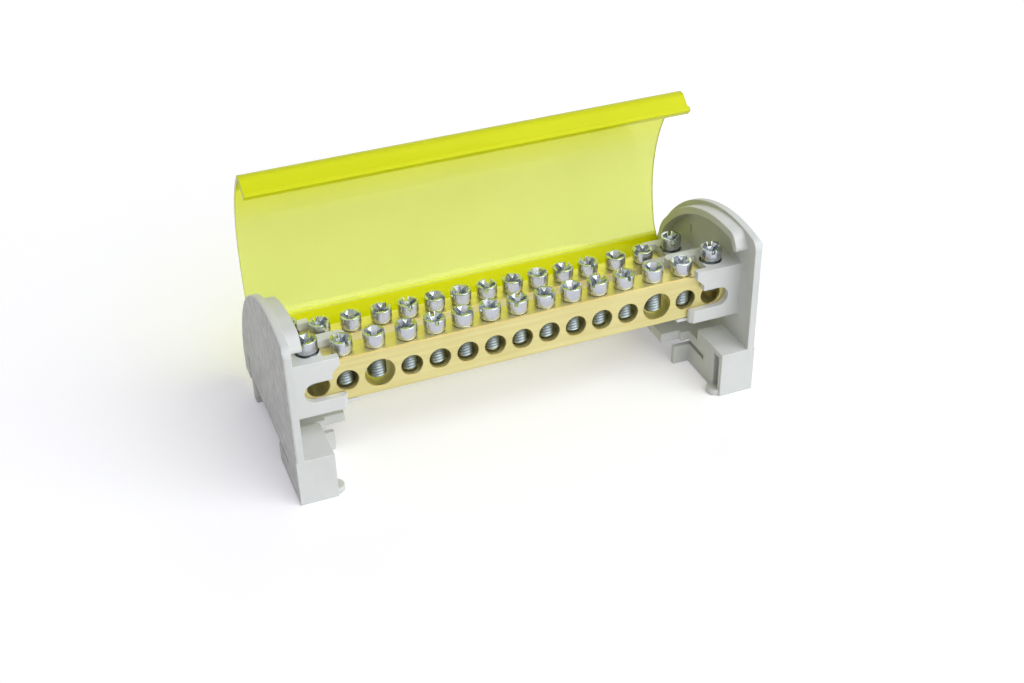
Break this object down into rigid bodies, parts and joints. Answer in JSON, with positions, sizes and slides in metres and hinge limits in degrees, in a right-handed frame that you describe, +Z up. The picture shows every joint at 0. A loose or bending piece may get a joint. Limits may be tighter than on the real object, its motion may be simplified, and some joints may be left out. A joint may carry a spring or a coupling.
{
  "type": "power distribution block",
  "caption": "Rail-mounted power distribution block: stepped brass terminal bars with clamp screws, held by domed grey end brackets, under a hinged clear yellow cover that stands open.",
  "frame": {"origin": "the middle of the rail seat: halfway along the block, on the rail's centre line, on the plane that rests on the rail", "axes": "+X along the bars to the right end, +Y from the front bar to the hinge at the back, +Z up, away from the rail"},
  "size_m": [0.123, 0.0578, 0.0683],
  "materials": {
    "grey_plastic": "fine moulded grain",
    "brass": "drawn and milled",
    "zinc": "bright zinc plate",
    "clear_yellow": "clear, extruded"
  },
  "bodies": {
    "frame": {"left_bracket": "grey_plastic", "right_bracket": "grey_plastic", "front_bar": "brass", "back_bar": "brass"},
    "cover": {"cover": "clear_yellow"},
    "front_screw_01": {"front_screw_01": "zinc"},
    "front_screw_02": {"front_screw_02": "zinc"},
    "front_screw_03": {"front_screw_03": "zinc"},
    "front_screw_04": {"front_screw_04": "zinc"},
    "front_screw_05": {"front_screw_05": "zinc"},
    "front_screw_06": {"front_screw_06": "zinc"},
    "front_screw_07": {"front_screw_07": "zinc"},
    "front_screw_08": {"front_screw_08": "zinc"},
    "front_screw_09": {"front_screw_09": "zinc"},
    "front_screw_10": {"front_screw_10": "zinc"},
    "front_screw_11": {"front_screw_11": "zinc"},
    "front_screw_12": {"front_screw_12": "zinc"},
    "front_screw_13": {"front_screw_13": "zinc"},
    "front_screw_14": {"front_screw_14": "zinc"},
    "front_screw_15": {"front_screw_15": "zinc"},
    "back_screw_01": {"back_screw_01": "zinc"},
    "back_screw_02": {"back_screw_02": "zinc"},
    "back_screw_03": {"back_screw_03": "zinc"},
    "back_screw_04": {"back_screw_04": "zinc"},
    "back_screw_05": {"back_screw_05": "zinc"},
    "back_screw_06": {"back_screw_06": "zinc"},
    "back_screw_07": {"back_screw_07": "zinc"},
    "back_screw_08": {"back_screw_08": "zinc"},
    "back_screw_09": {"back_screw_09": "zinc"},
    "back_screw_10": {"back_screw_10": "zinc"},
    "back_screw_11": {"back_screw_11": "zinc"},
    "back_screw_12": {"back_screw_12": "zinc"},
    "back_screw_13": {"back_screw_13": "zinc"},
    "back_screw_14": {"back_screw_14": "zinc"},
    "back_screw_15": {"back_screw_15": "zinc"}
  },
  "joints": [
    {"name": "cover_hinge", "type": "hinge", "parent": "frame", "child": "cover", "pos_m": [0, 0.01609, 0.00963], "axis": [1, 0, 0], "range_deg": [0, 55]},
    {"name": "front_screw_01_slide", "type": "slide", "parent": "frame", "child": "front_screw_01", "axis": [0, 0, 1], "range_m": [0, 0.004]},
    {"name": "front_screw_02_slide", "type": "slide", "parent": "frame", "child": "front_screw_02", "axis": [0, 0, 1], "range_m": [0, 0.0062]},
    {"name": "front_screw_03_slide", "type": "slide", "parent": "frame", "child": "front_screw_03", "axis": [0, 0, 1], "range_m": [0, 0.0062]},
    {"name": "front_screw_04_slide", "type": "slide", "parent": "frame", "child": "front_screw_04", "axis": [0, 0, 1], "range_m": [0, 0.0062]},
    {"name": "front_screw_05_slide", "type": "slide", "parent": "frame", "child": "front_screw_05", "axis": [0, 0, 1], "range_m": [0, 0.0062]},
    {"name": "front_screw_06_slide", "type": "slide", "parent": "frame", "child": "front_screw_06", "axis": [0, 0, 1], "range_m": [0, 0.0062]},
    {"name": "front_screw_07_slide", "type": "slide", "parent": "frame", "child": "front_screw_07", "axis": [0, 0, 1], "range_m": [0, 0.0062]},
    {"name": "front_screw_08_slide", "type": "slide", "parent": "frame", "child": "front_screw_08", "axis": [0, 0, 1], "range_m": [0, 0.0062]},
    {"name": "front_screw_09_slide", "type": "slide", "parent": "frame", "child": "front_screw_09", "axis": [0, 0, 1], "range_m": [0, 0.0062]},
    {"name": "front_screw_10_slide", "type": "slide", "parent": "frame", "child": "front_screw_10", "axis": [0, 0, 1], "range_m": [0, 0.0062]},
    {"name": "front_screw_11_slide", "type": "slide", "parent": "frame", "child": "front_screw_11", "axis": [0, 0, 1], "range_m": [0, 0.0062]},
    {"name": "front_screw_12_slide", "type": "slide", "parent": "frame", "child": "front_screw_12", "axis": [0, 0, 1], "range_m": [0, 0.0062]},
    {"name": "front_screw_13_slide", "type": "slide", "parent": "frame", "child": "front_screw_13", "axis": [0, 0, 1], "range_m": [0, 0.0062]},
    {"name": "front_screw_14_slide", "type": "slide", "parent": "frame", "child": "front_screw_14", "axis": [0, 0, 1], "range_m": [0, 0.0062]},
    {"name": "front_screw_15_slide", "type": "slide", "parent": "frame", "child": "front_screw_15", "axis": [0, 0, 1], "range_m": [0, 0.004]},
    {"name": "back_screw_01_slide", "type": "slide", "parent": "frame", "child": "back_screw_01", "axis": [0, 0, 1], "range_m": [0, 0.004]},
    {"name": "back_screw_02_slide", "type": "slide", "parent": "frame", "child": "back_screw_02", "axis": [0, 0, 1], "range_m": [0, 0.0062]},
    {"name": "back_screw_03_slide", "type": "slide", "parent": "frame", "child": "back_screw_03", "axis": [0, 0, 1], "range_m": [0, 0.0062]},
    {"name": "back_screw_04_slide", "type": "slide", "parent": "frame", "child": "back_screw_04", "axis": [0, 0, 1], "range_m": [0, 0.0062]},
    {"name": "back_screw_05_slide", "type": "slide", "parent": "frame", "child": "back_screw_05", "axis": [0, 0, 1], "range_m": [0, 0.0062]},
    {"name": "back_screw_06_slide", "type": "slide", "parent": "frame", "child": "back_screw_06", "axis": [0, 0, 1], "range_m": [0, 0.0062]},
    {"name": "back_screw_07_slide", "type": "slide", "parent": "frame", "child": "back_screw_07", "axis": [0, 0, 1], "range_m": [0, 0.0062]},
    {"name": "back_screw_08_slide", "type": "slide", "parent": "frame", "child": "back_screw_08", "axis": [0, 0, 1], "range_m": [0, 0.0062]},
    {"name": "back_screw_09_slide", "type": "slide", "parent": "frame", "child": "back_screw_09", "axis": [0, 0, 1], "range_m": [0, 0.0062]},
    {"name": "back_screw_10_slide", "type": "slide", "parent": "frame", "child": "back_screw_10", "axis": [0, 0, 1], "range_m": [0, 0.0062]},
    {"name": "back_screw_11_slide", "type": "slide", "parent": "frame", "child": "back_screw_11", "axis": [0, 0, 1], "range_m": [0, 0.0062]},
    {"name": "back_screw_12_slide", "type": "slide", "parent": "frame", "child": "back_screw_12", "axis": [0, 0, 1], "range_m": [0, 0.0062]},
    {"name": "back_screw_13_slide", "type": "slide", "parent": "frame", "child": "back_screw_13", "axis": [0, 0, 1], "range_m": [0, 0.0062]},
    {"name": "back_screw_14_slide", "type": "slide", "parent": "frame", "child": "back_screw_14", "axis": [0, 0, 1], "range_m": [0, 0.0062]},
    {"name": "back_screw_15_slide", "type": "slide", "parent": "frame", "child": "back_screw_15", "axis": [0, 0, 1], "range_m": [0, 0.004]}
  ]
}
